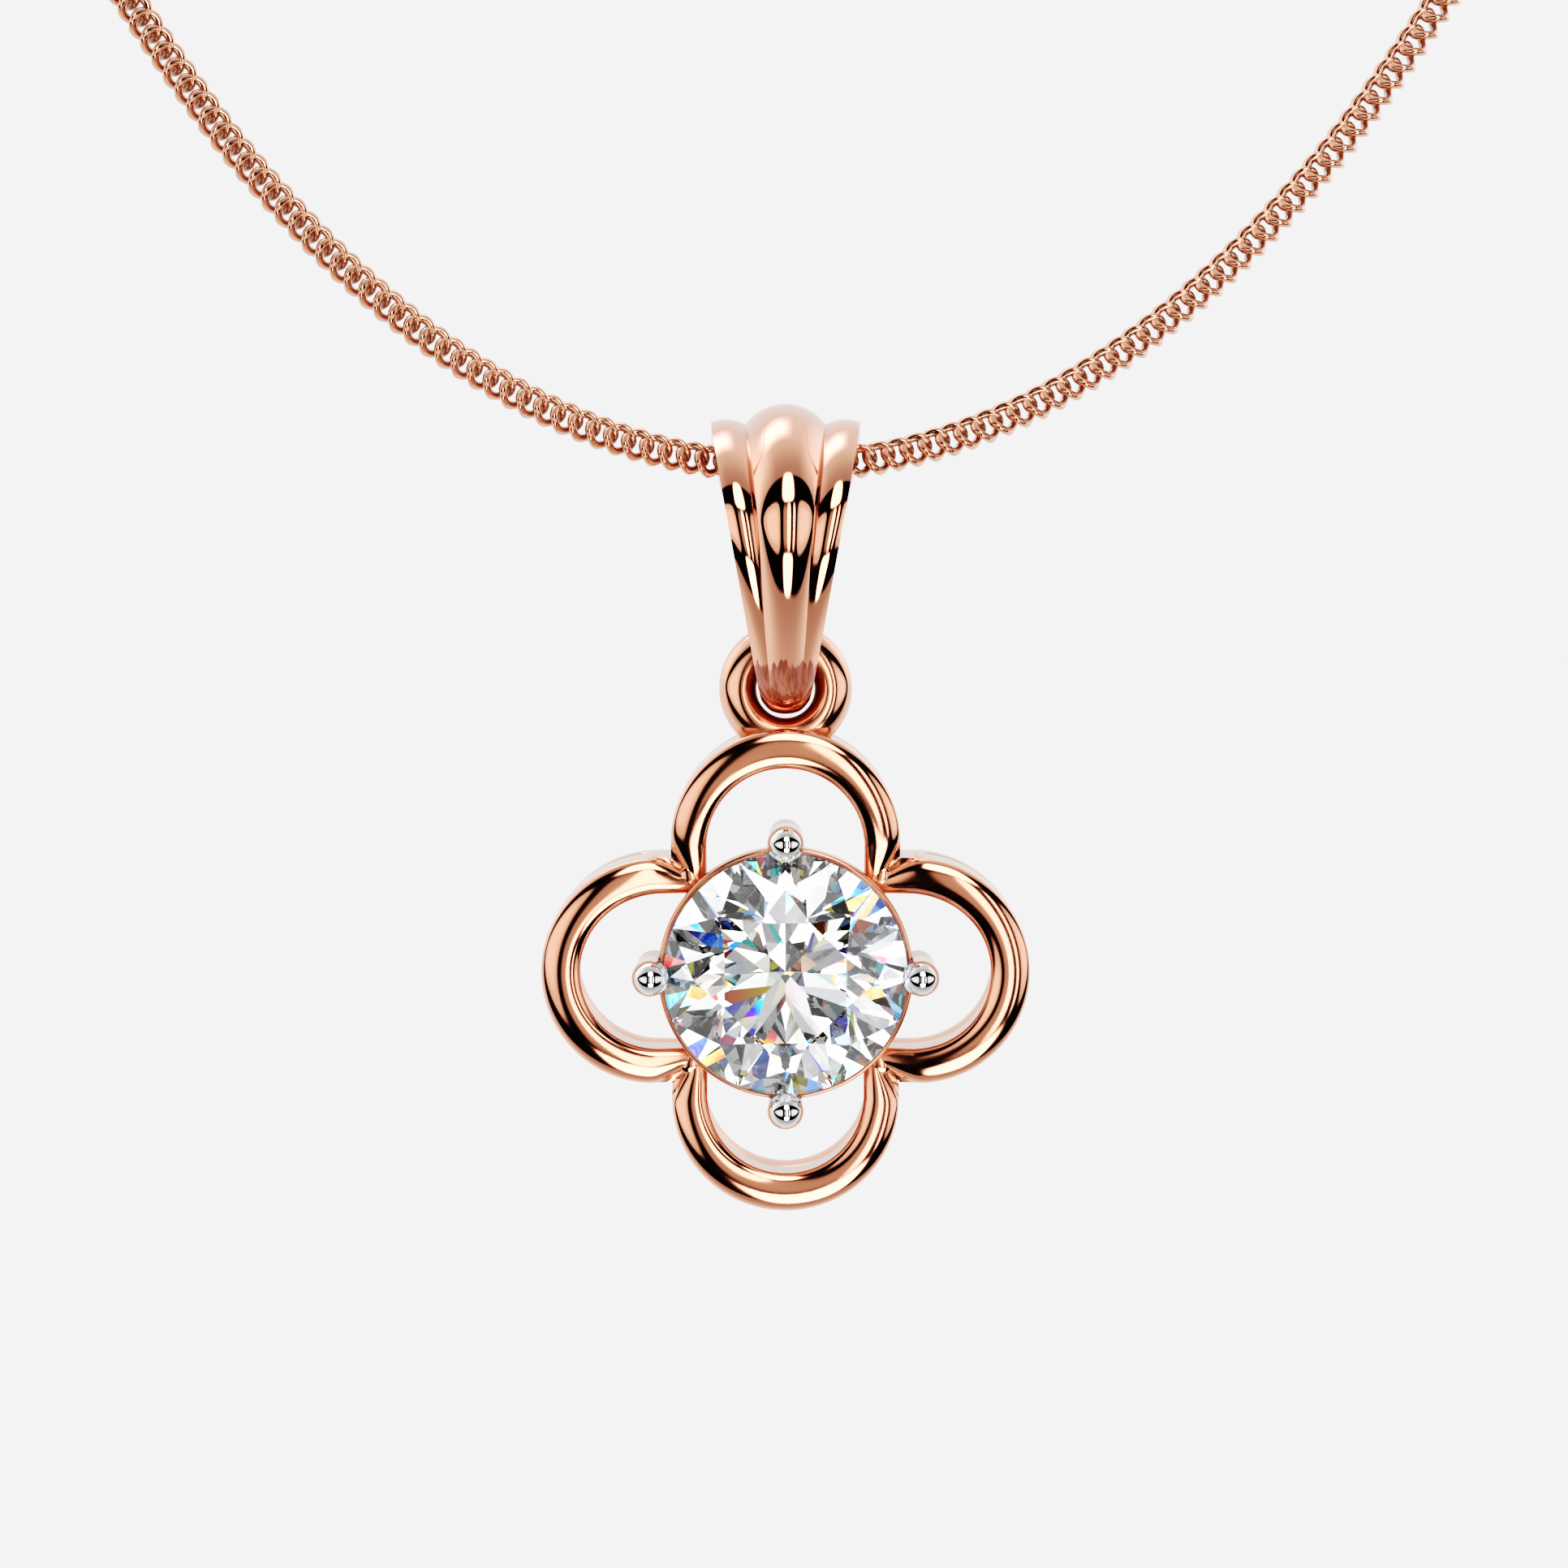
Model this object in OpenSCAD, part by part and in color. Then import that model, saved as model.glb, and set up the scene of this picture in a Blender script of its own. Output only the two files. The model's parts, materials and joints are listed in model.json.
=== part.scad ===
// Four-petal clover pendant with a round brilliant, hanging from a fluted bail on a fine curb chain.
// Origin: where the chain's clasp lies on the nape. +Z is up, and the pendant faces -Y.

/* [Stone] */
// Girdle diameter of the round brilliant
stone_d = 6.4; // [6:0.05:6.5]
// Table width, corner to corner, as a share of the diameter
table_share = 0.53; // [0.5:0.01:0.6]
// Slope of the eight crown mains
crown_angle = 34.5; // [32:0.5:36]
// Slope of the eight pavilion mains
pavilion_angle = 40.75; // [40:0.25:41.5]
// Thickness of the girdle at its facet corners
girdle_t = 0.18; // [0.14:0.01:0.22]

/* [Clover] */
// Half of the clover's width, out to the polished edge
petal_reach = 6.38; // [6.3:0.02:6.5]
// Radius of a petal's arc, at the middle of its wall
petal_r = 2.55; // [2.5:0.01:2.6]
// Thickness of the petals' wall
petal_t = 0.81; // [0.75:0.01:0.86]
// Radius of the shallow dome along the front of the wall
dome_r = 0.8; // [0.6:0.05:1.2]
// Depth of the wall behind the edges of the dome
petal_depth = 1.9; // [1.6:0.1:2.1]

/* [Setting] */
// Distance of each prong from the stone's axis
prong_reach = 3.53; // [3.5:0.01:3.6]
// Diameter of a prong and of its round head
prong_d = 0.96; // [0.9:0.02:1]
// Outer radius of the gallery ring that the stone sits in
gallery_r = 3.35; // [3.32:0.01:3.4]
// Radius of the base ring behind the stone, at the middle of its wire
base_r = 1.25; // [1.2:0.05:1.4]

/* [Hanging ring] */
// Radius of the hanging ring, at the middle of its wire
hang_r = 1.245; // [1.24:0.005:1.26]
// Thickness of the hanging ring between that radius and its hole
hang_in = 0.475; // [0.44:0.005:0.48]
// Thickness of the hanging ring between that radius and its outer edge
hang_out = 0.505; // [0.48:0.005:0.53]
// Depth of the hanging ring from front to back
hang_t = 1; // [0.9:0.02:1.04]

/* [Bail] */
// Width of the bail at its top
bail_top_w = 3.85; // [3.6:0.05:4]
// Width of the bail where the hanging ring rides
bail_low_w = 1.24; // [1.1:0.02:1.26]
// Depth of the loop from its middle to its front
bail_reach = 3.4; // [3:0.1:3.6]
// Thickness of the bail through its middle lobe, at the top
bail_top_t = 0.96; // [0.8:0.02:1]
// Thickness of the bail through its middle lobe, at the bottom
bail_low_t = 1.24; // [1.1:0.01:1.25]

/* [Chain] */
// Outer diameter of the curb chain
chain_d = 0.86; // [0.7:0.02:0.9]
// Radius of the clasp ring, at the middle of its wire
clasp_r = 1.9; // [1.7:0.1:2.2]
// Diameter of the clasp ring's wire
clasp_wire_d = 0.9; // [0.7:0.05:1]

/* [Hidden] */
$fn = 64;
eps = 0.01;

// Heights are counted from the chain's lowest point, and the pendant's depths from the chain's plane
// The clasp is this far behind and above the lowest point
nape_back = 98;
nape_rise = 115;
clover_drop = 13.24;     // from the chain down to the stone's axis
hang_drop = 4.545;       // from the chain down to the top wire of the hanging ring
wall_front = 0.75;       // edges of the petals' front, ahead of the chain's plane
girdle_front = 1.08;     // middle of the girdle
prong_front = 1.5;       // centre of a prong's round head
joint_front = 0.8;       // where a prong tip meets its rose gold post
post_back = 0.1;         // end of the straight post, behind the chain's plane
base_back = 1.5;         // base ring, behind the chain's plane
seat_gap = 0.03;         // clearance between stone and metal

// Route of one half of the chain, from its lowest point to the clasp: right, back, up
ROUTE = [
    [0, 0, 0], [2.5, 0, 0.23], [5, 0, 0.94], [7.5, 0, 2.14], [10, 0, 3.88], [12.5, 0, 6.21],
    [15, 0, 9.23], [18, 0, 13.9], [21.5, 0.6, 20.5], [26, 2.5, 29.5], [31, 6.5, 39.5],
    [36, 13, 51], [41.5, 22.5, 63], [46, 35, 75], [48, 49, 86], [46.5, 63, 95.5],
    [41.5, 75.5, 103], [33.5, 86, 109], [22.5, 93.5, 113], [11, 97.3, 114.8], [3.4, 98, 115]];
route_steps = 2;
chain_sides = 8;
loop_tilt = [0, -0.76, 0.65];    // normal of the plane that the worn loop leans in

stone_r = stone_d / 2;
corner = 360 / 16;               // half the angle between two facets of one row
table_r = table_share * stone_r;
table_flat = table_r * cos(corner);
crown_h = (stone_r - table_r) * tan(crown_angle);
star_r = (table_flat + stone_r) / 2;
star_h = (stone_r - star_r * cos(corner)) * tan(crown_angle);
star_angle = atan((crown_h - star_h) / (star_r - table_flat));
upper_angle = atan(star_h / ((stone_r - star_r) * cos(corner / 2)));
pavilion_h = stone_r * tan(pavilion_angle);
lower_r = 0.23 * stone_r;        // the lower halves run 77% of the way to the culet
lower_h = (stone_r - lower_r * cos(corner)) * tan(pavilion_angle);
lower_angle = atan(lower_h / ((stone_r - lower_r) * cos(corner / 2)));
ridge_slope = lower_h / (stone_r - lower_r);

arc_centre = petal_reach - petal_r - petal_t / 2;
hang_centre = clover_drop - hang_drop - hang_r;

bail_top = bail_top_t + chain_d / 2 + 0.22;
bail_mid = -1.6;                 // height of the loop's widest place
bail_low_r = bail_low_t + hang_in + 0.2;
bail_tangent = -35;              // where the bottom bend begins, as the slope of its outward normal
bail_pull = 1.5;                 // how far the curve of the side keeps the direction of its ends

// Places and frames
function at_swag(p) = [p.x, p.y - nape_back, p.z - nape_rise];
module on_swag() translate([0, -nape_back, -nape_rise]) children();
module on_clover() on_swag() translate([0, 0, -clover_drop]) rotate([90, 0, 0]) children();
function unit(v) = v / norm(v);

// The chain: a round tube along the route, one half at a time
function between(a, b, c, d, t) =
    0.5 * (2 * b + (c - a) * t + (2 * a - 5 * b + 4 * c - d) * t * t + (3 * b - a - 3 * c + d) * t * t * t);
function route_point(i) =
    i < 0 ? [-ROUTE[-i].x, ROUTE[-i].y, ROUTE[-i].z]
    : i >= len(ROUTE) ? 2 * ROUTE[len(ROUTE) - 1] - ROUTE[len(ROUTE) - 2]
    : ROUTE[i];
function smooth_route() = [
    for (i = [0 : len(ROUTE) - 2], k = [0 : route_steps - 1])
        between(route_point(i - 1), route_point(i), route_point(i + 1), route_point(i + 2), k / route_steps),
    ROUTE[len(ROUTE) - 1]];

module half_chain(side) {
    path = [for (p = smooth_route()) at_swag([side * p.x, p.y, p.z])];
    last = len(path) - 1;
    rings = [for (i = [0 : last])
        let (along = i == 0 ? [side, 0, 0] : i == last ? [-side, 0, 0] : unit(path[i + 1] - path[i - 1]),
             across = unit(cross(along, loop_tilt)),
             outward = cross(across, along))
        [for (k = [0 : chain_sides - 1]) let (turn = 360 * (k + 0.5) / chain_sides)
            path[i] + chain_d / 2 * (cos(turn) * across + sin(turn) * outward)]];
    skin = [for (i = [0 : last - 1], k = [0 : chain_sides - 1])
        let (a = i * chain_sides + k, b = i * chain_sides + (k + 1) % chain_sides)
        each [[a, b, b + chain_sides], [a, b + chain_sides, a + chain_sides]]];
    cap_start = [for (k = [chain_sides - 1 : -1 : 0]) k];
    cap_end = [for (k = [0 : chain_sides - 1]) last * chain_sides + k];
    color("#D8906E") polyhedron([for (r = rings) each r], concat(skin, [cap_start, cap_end]), convexity = 6);
}

module chain_left() half_chain(-1);
module chain_right() half_chain(1);

// The clasp: a ring with a thumb nub, and an eyelet at each side for the chain
module torus(r, wire_d) rotate_extrude() translate([r, 0]) circle(d = wire_d);

module clasp() color("#D8906E") {
    eyelet_r = 0.42;
    eyelet_wire_d = 0.26;
    rotate([90, 0, 0]) torus(clasp_r, clasp_wire_d);
    for (side = [-1, 1]) translate([side * (clasp_r + clasp_wire_d / 2 + eyelet_r - 0.08), 0, 0])
        torus(eyelet_r, eyelet_wire_d);
    rotate([0, 35, 0]) translate([0, 0, clasp_r]) cylinder(d = 0.5, h = 0.85);
}

// The bail: a fluted strip swept round a loop in the plane x = 0
// A station is [distance to the front, height, slope of the outward normal]
function bail_curve(t) =
    let (foot = [bail_low_r * cos(bail_tangent), -hang_drop + bail_low_r * sin(bail_tangent)],
         a = [bail_reach, bail_mid],
         b = a - [0, bail_pull],
         c = foot + bail_pull * [-sin(bail_tangent), cos(bail_tangent)],
         p = pow(1 - t, 3) * a + 3 * pow(1 - t, 2) * t * b + 3 * (1 - t) * t * t * c + pow(t, 3) * foot,
         d = pow(1 - t, 2) * (b - a) + 2 * (1 - t) * t * (c - b) + t * t * (foot - c))
    [p.x, p.y, atan2(d.x, -d.y)];
function bail_front_half() = [
    for (turn = [90 : -10 : 1]) let (h = bail_top - bail_mid)
        [bail_reach * cos(turn), bail_mid + h * sin(turn), atan2(sin(turn) / h, cos(turn) / bail_reach)],
    for (t = [0 : 0.125 : 0.99]) bail_curve(t),
    for (turn = [bail_tangent : -11 : -89])
        [bail_low_r * cos(turn), -hang_drop + bail_low_r * sin(turn), turn],
    [0, -hang_drop - bail_low_r, -90]];
function bail_stations() =
    let (half = bail_front_half())
    concat(half, [for (i = [len(half) - 2 : -1 : 1]) [-half[i].x, half[i].y, 180 - half[i].z]]);

// One section of the strip: sideways places with their heights over the middle lobe's crest
function mix(a, b, t) = a + (b - a) * t;
function bail_section(low) =
    let (half_w = mix(bail_top_w, bail_low_w, low) / 2,
         thick = mix(bail_top_t, bail_low_t, low),
         crease_x = 0.54 * half_w,
         crease = mix(0.51, 0.06, pow(low, 1.2)),
         edge = crease + mix(-0.04, 0.28, low),
         bulge = mix(0.095, 0.04, low),
         sag = mix(0, 0.35, low),
         lobe_r = (crease_x * crease_x + crease * crease) / (2 * crease),
         lobe_turn = asin(crease_x / lobe_r))
    concat(
        [for (q = [1 : -0.25 : 0.01])
            [mix(crease_x, half_w, q), -mix(crease, edge, q) + 4 * bulge * q * (1 - q)]],
        [for (q = [1 : -0.25 : -1])
            [lobe_r * sin(q * lobe_turn), lobe_r * (cos(q * lobe_turn) - 1)]],
        [for (q = [0.25 : 0.25 : 1])
            [-mix(crease_x, half_w, q), -mix(crease, edge, q) + 4 * bulge * q * (1 - q)]],
        [for (q = [-1 : 0.5 : 1]) [q * half_w, sag * q * q - thick]]);

module bail() {
    stations = bail_stations();
    rings = [for (s = stations)
        let (low = (bail_top - s.y) / (bail_top + hang_drop + bail_low_r))
        [for (p = bail_section(low))
            at_swag([p.x, -(s.x + p.y * cos(s.z)), s.y + p.y * sin(s.z)])]];
    n = len(stations);
    m = len(rings[0]);
    skin = [for (i = [0 : n - 1], j = [0 : m - 1])
        let (a = i * m + j, b = i * m + (j + 1) % m, c = ((i + 1) % n) * m + (j + 1) % m,
             d = ((i + 1) % n) * m + j)
        each [[a, d, c], [a, c, b]]];
    color("#E0A080") polyhedron([for (r = rings) each r], skin, convexity = 6);
}

// The clover: a petal is an arch of wall with a shallow dome along its front, mitred on the diagonals
module petal_section() {
    half = petal_t / 2;
    lean = asin(half / dome_r);
    polygon(concat([[-half, -petal_depth], [half, -petal_depth]],
        [for (q = [1 : -0.2 : -1.01]) dome_r * [sin(q * lean), cos(q * lean) - cos(lean)]]));
}

module petal() intersection() {
    union() {
        translate([0, arc_centre, wall_front])
            rotate_extrude(angle = 180) translate([petal_r, 0]) petal_section();
        for (side = [-1, 1]) translate([side * petal_r, arc_centre, wall_front])
            rotate([90, 0, 0]) linear_extrude(arc_centre) petal_section();
    }
    translate([0, 0, -5]) linear_extrude(10) polygon([[0, 0], [12, 12], [-12, 12]]);
}

// The gallery ring: its slanted inner face is the stone's seat
module gallery() rotate_extrude() {
    rim_front = girdle_front - girdle_t / 2 - eps;
    rim_back = rim_front - 0.45;
    inner_r = 2.95;
    seat_r = stone_r + seat_gap + 0.01;
    polygon([[seat_r, rim_front], [gallery_r, rim_front], [gallery_r, rim_back], [inner_r, rim_back],
        [inner_r, rim_front - (seat_r - inner_r) * ridge_slope]]);
}

// A post runs straight back beside the stone, then slants in to the base ring
module post() {
    slant = [base_r - prong_reach, -base_back + post_back];
    translate([prong_reach, 0, -post_back]) {
        cylinder(d = prong_d - 0.08, h = joint_front + post_back);
        sphere(d = prong_d);
        rotate([0, atan2(slant.x, slant.y), 0]) cylinder(d = 0.6, h = norm(slant));
    }
}

// A small bead of solder ties each inner corner of the clover to the gallery ring
module bridge() rotate([0, 0, 45]) translate([3.5, 0, 0.72]) sphere(d = 0.44);

// The hanging ring's section is fuller towards its hole, and slopes away to its outer edge
module hanging_ring() rotate_extrude() translate([hang_r, 0])
    let (crest = -0.125)
    polygon([for (turn = [0 : 10 : 350])
        [crest + (cos(turn) > 0 ? hang_out - crest : hang_in + crest) * cos(turn), hang_t / 2 * sin(turn)]]);

module clover_frame() color("#D8906E") on_clover() {
    for (turn = [0 : 90 : 270]) rotate([0, 0, turn]) {
        petal();
        post();
        bridge();
    }
    gallery();
    translate([0, 0, -base_back]) torus(base_r, 0.68);
    translate([0, hang_centre, 0]) hanging_ring();
}

// A prong tip: a round-headed pin notched for the girdle, and cut clear of the gallery ring
module prong_tip(turn) color("#D9D9DC") on_clover() rotate([0, 0, turn]) difference() {
    translate([prong_reach, 0, 0]) {
        translate([0, 0, joint_front]) cylinder(d = prong_d, h = prong_front - joint_front);
        translate([0, 0, prong_front]) sphere(d = prong_d);
    }
    translate([0, 0, -5]) cylinder(r = prong_reach - prong_d / 2 + 2, h = 5 + joint_front);
    translate([0, 0, -5])
        cylinder(r = gallery_r + seat_gap, h = 5 + girdle_front - girdle_t / 2 + seat_gap);
    cylinder(r = stone_r + seat_gap, h = girdle_front + girdle_t / 2 + seat_gap);
    translate([0, 0, girdle_front + girdle_t / 2 + seat_gap])
        cylinder(r1 = stone_r + seat_gap, r2 = 0, h = (stone_r + seat_gap) * tan(upper_angle));
}

module prong_top() prong_tip(90);
module prong_right() prong_tip(0);
module prong_bottom() prong_tip(-90);
module prong_left() prong_tip(180);

// The stone is convex, so its facets are the faces of the hull round its corners
// The girdle is a cylinder, and each half facet meets it in a shallow scallop
function round_row(r, z, start) = [
    for (k = [0 : 7]) let (turn = start + 45 * k) [r * cos(turn), r * sin(turn), z]];
function girdle_row(side, slope) = [for (k = [0 : 15], q = [-2 : 1])
    let (turn = corner * q / 4,
         z = girdle_t / 2 - stone_r * (cos(turn) - cos(corner / 2)) * tan(slope),
         around = corner * (k + 0.5) + turn)
    [stone_r * cos(around), stone_r * sin(around), side * z]];

module diamond() color("#F4F6FA") on_clover() translate([0, 0, girdle_front]) {
    corners = concat(
        round_row(table_r, crown_h + girdle_t / 2, corner),
        round_row(star_r, star_h + girdle_t / 2, 0),
        girdle_row(1, upper_angle),
        girdle_row(-1, lower_angle),
        round_row(lower_r, -lower_h - girdle_t / 2, 0),
        [[0, 0, -pavilion_h - girdle_t / 2]]);
    hull() polyhedron(corners, [[for (i = [0 : len(corners) - 1]) i]]);
}

chain_left();
chain_right();
clasp();
bail();
clover_frame();
prong_top();
prong_right();
prong_bottom();
prong_left();
diamond();
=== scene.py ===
"""Diamond clover pendant on its curb chain: finishes, fine detail and studio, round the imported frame."""

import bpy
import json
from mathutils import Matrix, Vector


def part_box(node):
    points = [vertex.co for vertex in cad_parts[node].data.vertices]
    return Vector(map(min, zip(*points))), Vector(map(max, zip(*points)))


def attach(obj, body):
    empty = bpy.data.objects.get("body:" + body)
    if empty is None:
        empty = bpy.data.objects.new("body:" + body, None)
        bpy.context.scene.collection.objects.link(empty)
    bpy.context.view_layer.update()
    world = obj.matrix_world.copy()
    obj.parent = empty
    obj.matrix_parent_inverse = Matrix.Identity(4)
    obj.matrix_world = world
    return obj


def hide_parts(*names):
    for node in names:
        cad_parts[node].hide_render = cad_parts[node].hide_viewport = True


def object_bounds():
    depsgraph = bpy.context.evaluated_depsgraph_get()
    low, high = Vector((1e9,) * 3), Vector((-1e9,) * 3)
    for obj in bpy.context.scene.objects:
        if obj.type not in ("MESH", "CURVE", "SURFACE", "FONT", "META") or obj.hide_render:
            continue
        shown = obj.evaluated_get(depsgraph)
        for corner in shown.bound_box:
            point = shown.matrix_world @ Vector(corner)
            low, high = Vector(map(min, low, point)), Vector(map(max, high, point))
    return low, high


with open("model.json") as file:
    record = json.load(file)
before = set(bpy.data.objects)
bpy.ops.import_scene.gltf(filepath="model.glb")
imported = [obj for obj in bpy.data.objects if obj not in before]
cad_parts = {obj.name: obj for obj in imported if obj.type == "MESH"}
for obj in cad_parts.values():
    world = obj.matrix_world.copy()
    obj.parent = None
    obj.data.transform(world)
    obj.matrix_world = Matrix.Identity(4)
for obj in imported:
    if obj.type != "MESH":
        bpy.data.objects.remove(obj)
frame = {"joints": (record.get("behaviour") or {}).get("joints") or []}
CAD_BOX = [list(corner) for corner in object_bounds()]

import json
import math

import bmesh
import bpy
from bpy.props import FloatProperty, FloatVectorProperty, IntProperty, PointerProperty
from mathutils import Matrix, Vector

bl_info = {
    "name": "Clover Pendant",
    "version": (1, 0, 0),
    "blender": (4, 5, 0),
    "location": "View3D > Sidebar > Pendant",
    "description": "Models a clover pendant with a round brilliant, its bail and its curb chain",
    "category": "Add Mesh",
}

MM = 0.001
X, Z = Vector((1, 0, 0)), Vector((0, 0, 1))


def joint_place(name):
    """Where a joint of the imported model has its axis."""
    return Vector(next(j["pos_m"] for j in frame["joints"] if j["name"] == name))


# The chain's lowest point, and the middle of the hanging ring's metal where it rides on the bail
SWAG, PIN = joint_place("bail_swing"), joint_place("pendant_swing")
STONE_BOX = [Vector(corner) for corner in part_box("diamond")]
STONE_HEIGHT = (STONE_BOX[0].z + STONE_BOX[1].z) / 2
# The pieces are modelled in millimetres, in the frame that suits each of them
AT_SWAG = Matrix.Translation(SWAG) @ Matrix.Scale(MM, 4)
AT_CLASP = Matrix.Scale(MM, 4)
# In the clover's frame x is right, y is up and z comes towards the viewer
AT_CLOVER = (Matrix.Translation((SWAG.x, SWAG.y, STONE_HEIGHT)) @ Matrix.Rotation(math.pi / 2, 4, "X")
             @ Matrix.Scale(MM, 4))


def linear(colour):
    """An sRGB hex colour as the linear colour that shaders use."""
    parts = [int(colour[i:i + 2], 16) / 255 for i in (1, 3, 5)]
    return [c / 12.92 if c <= 0.04045 else ((c + 0.055) / 1.055) ** 2.4 for c in parts]


def mm(length):
    """A property's length, which is in metres, as millimetres."""
    return length / MM


class PENDANT_PG_stone(bpy.types.PropertyGroup):
    table: FloatProperty(name="Table", description="Table width as a share of the stone's width",
                         default=0.53, min=0.5, max=0.6, subtype="FACTOR")
    crown: FloatProperty(name="Crown angle", description="Slope of the crown mains",
                         default=math.radians(34.5), subtype="ANGLE")
    pavilion: FloatProperty(name="Pavilion angle", description="Slope of the pavilion mains",
                            default=math.radians(40.75), subtype="ANGLE")
    girdle: FloatProperty(name="Girdle", description="Thickness of the girdle at the facet corners",
                          default=0.18 * MM, unit="LENGTH", precision=5)
    lower: FloatProperty(name="Lower halves", description="How near the culet the lower halves end",
                         default=0.23, subtype="FACTOR")


class PENDANT_PG_clover(bpy.types.PropertyGroup):
    reach: FloatProperty(name="Reach", description="Half of the clover's width",
                         default=6.44 * MM, unit="LENGTH", precision=5)
    arc: FloatProperty(name="Petal arc", description="Radius of a petal at the middle of its wall",
                       default=2.58 * MM, unit="LENGTH", precision=5)
    wall: FloatProperty(name="Wall", description="Thickness of the petals' wall",
                        default=0.87 * MM, unit="LENGTH", precision=5)
    rim: FloatProperty(name="Rim", description="Width of the domed rim at a petal's tip, inner lip included",
                       default=1.03 * MM, unit="LENGTH", precision=5)
    dome: FloatProperty(name="Dome", description="Height of the rim over its outer edge",
                        default=0.22 * MM, unit="LENGTH", precision=5)
    depth: FloatProperty(name="Depth", description="From the edge of the rim to the back",
                         default=1.9 * MM, unit="LENGTH", precision=5)
    front: FloatProperty(name="Front", description="Edge of the rim ahead of the chain",
                         default=0.74 * MM, unit="LENGTH", precision=5)
    gallery: FloatProperty(name="Gallery", description="Outer radius of the ring under the stone",
                           default=3.35 * MM, unit="LENGTH", precision=5)
    prong_reach: FloatProperty(name="Prong reach", description="Distance of a prong from the axis",
                               default=3.53 * MM, unit="LENGTH", precision=5)
    prong: FloatProperty(name="Prong head", description="Width of a prong's round head",
                         default=0.96 * MM, unit="LENGTH", precision=5)
    hang: FloatProperty(name="Hanging ring", description="Radius at the middle of its metal",
                        default=1.245 * MM, unit="LENGTH", precision=5)
    hang_deep: FloatProperty(name="Hanging ring depth", description="From its front to its back",
                             default=1.0 * MM, unit="LENGTH", precision=5)


class PENDANT_PG_bail(bpy.types.PropertyGroup):
    top: FloatProperty(name="Top width", description="Width of the bail at its top",
                       default=3.85 * MM, unit="LENGTH", precision=5)
    foot: FloatProperty(name="Foot width", description="Width of the bail where the ring rides",
                        default=1.24 * MM, unit="LENGTH", precision=5)
    reach: FloatProperty(name="Reach", description="From the middle of the loop to its front",
                         default=3.4 * MM, unit="LENGTH", precision=5)


class PENDANT_PG_chain(bpy.types.PropertyGroup):
    width: FloatProperty(name="Width", description="Width of a link",
                         default=0.9 * MM, unit="LENGTH", precision=5)
    long: FloatProperty(name="Length", description="Length of a link",
                        default=0.94 * MM, unit="LENGTH", precision=5)
    wire: FloatProperty(name="Wire", description="Width of a link's wire",
                        default=0.24 * MM, unit="LENGTH", precision=5)
    pitch: FloatProperty(name="Pitch", description="From one link to the next",
                         default=0.49 * MM, unit="LENGTH", precision=5)
    twist: FloatProperty(name="Twist", description="Turn of a link from its middle to its end",
                         default=math.radians(41), subtype="ANGLE")
    lean: FloatProperty(name="Lean", description="Turn of a link that brings its left end forward",
                        default=math.radians(23), subtype="ANGLE")
    roll: FloatProperty(name="Roll",
                        description="Turn of a link in the chain's plane that brings its foot left",
                        default=math.radians(6), subtype="ANGLE")
    near: IntProperty(name="Fine links", description="Finely meshed links on each side of the bail",
                      default=46)


class PENDANT_PG_finish(bpy.types.PropertyGroup):
    rose: FloatVectorProperty(name="Rose gold", description="Colour of the polished rose gold",
                              default=linear("#F5B195"), size=3, subtype="COLOR")
    chain: FloatVectorProperty(name="Chain gold", description="Colour of the chain's rose gold",
                               default=linear("#E6AA90"), size=3, subtype="COLOR")
    white: FloatVectorProperty(name="White gold", description="Colour of the rhodium-plated prongs",
                               default=linear("#E2E1E0"), size=3, subtype="COLOR")
    paper: FloatVectorProperty(name="Background", description="The pale paper behind the pendant",
                               default=linear("#F1F1F1"), size=3, subtype="COLOR")


# Mesh helpers

def mix(a, b, t):
    """The value a share t of the way from a to b."""
    return a + (b - a) * t


def sweep(bm, rings, closed):
    """Carries one outline through a row of places; each place lists the outline's points in order."""
    order = bm.verts.layers.int.new("order")
    start = bmesh.ops.create_circle(bm, segments=len(rings[0]), radius=1)["verts"]
    for i, vert in enumerate(start):
        vert[order] = i
        vert.co = rings[0][i]
    first = edges = list({e for v in start for e in v.link_edges})
    for ring in rings[1:]:
        geom = bmesh.ops.extrude_edge_only(bm, edges=edges)["geom"]
        verts = {g for g in geom if isinstance(g, bmesh.types.BMVert)}
        edges = [g for g in geom if isinstance(g, bmesh.types.BMEdge) and verts.issuperset(g.verts)]
        for vert in verts:
            vert.co = ring[vert[order]]
    if closed:
        bmesh.ops.bridge_loops(bm, edges=first + edges)


def lathe(outline, segments, ring=True):
    """Spins an outline of (radius, height) points round the z axis; a ring's outline closes on itself."""
    bm = bmesh.new()
    verts = [bm.verts.new((r, 0, z)) for r, z in outline]
    pairs = list(zip(verts, verts[1:])) + ([(verts[-1], verts[0])] if ring else [])
    edges = [bm.edges.new(pair) for pair in pairs]
    bmesh.ops.spin(bm, geom=verts + edges, cent=(0, 0, 0), axis=Z, angle=2 * math.pi,
                   steps=segments, use_merge=True)
    bmesh.ops.remove_doubles(bm, verts=bm.verts, dist=1e-5)
    bmesh.ops.recalc_face_normals(bm, faces=bm.faces)
    return bm


def torus(radius, wire, segments=96, sides=24):
    """A round wire ring about the z axis."""
    turns = [2 * math.pi * i / sides for i in range(sides)]
    return lathe([(radius + wire / 2 * math.cos(t), wire / 2 * math.sin(t)) for t in turns], segments)


def ball(width, stretch=(1, 1, 1)):
    """A smooth bead, drawn out along its axes by stretch."""
    bm = bmesh.new()
    bmesh.ops.create_uvsphere(bm, u_segments=32, v_segments=20, radius=width / 2)
    bmesh.ops.scale(bm, vec=stretch, verts=bm.verts)
    return bm


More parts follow.
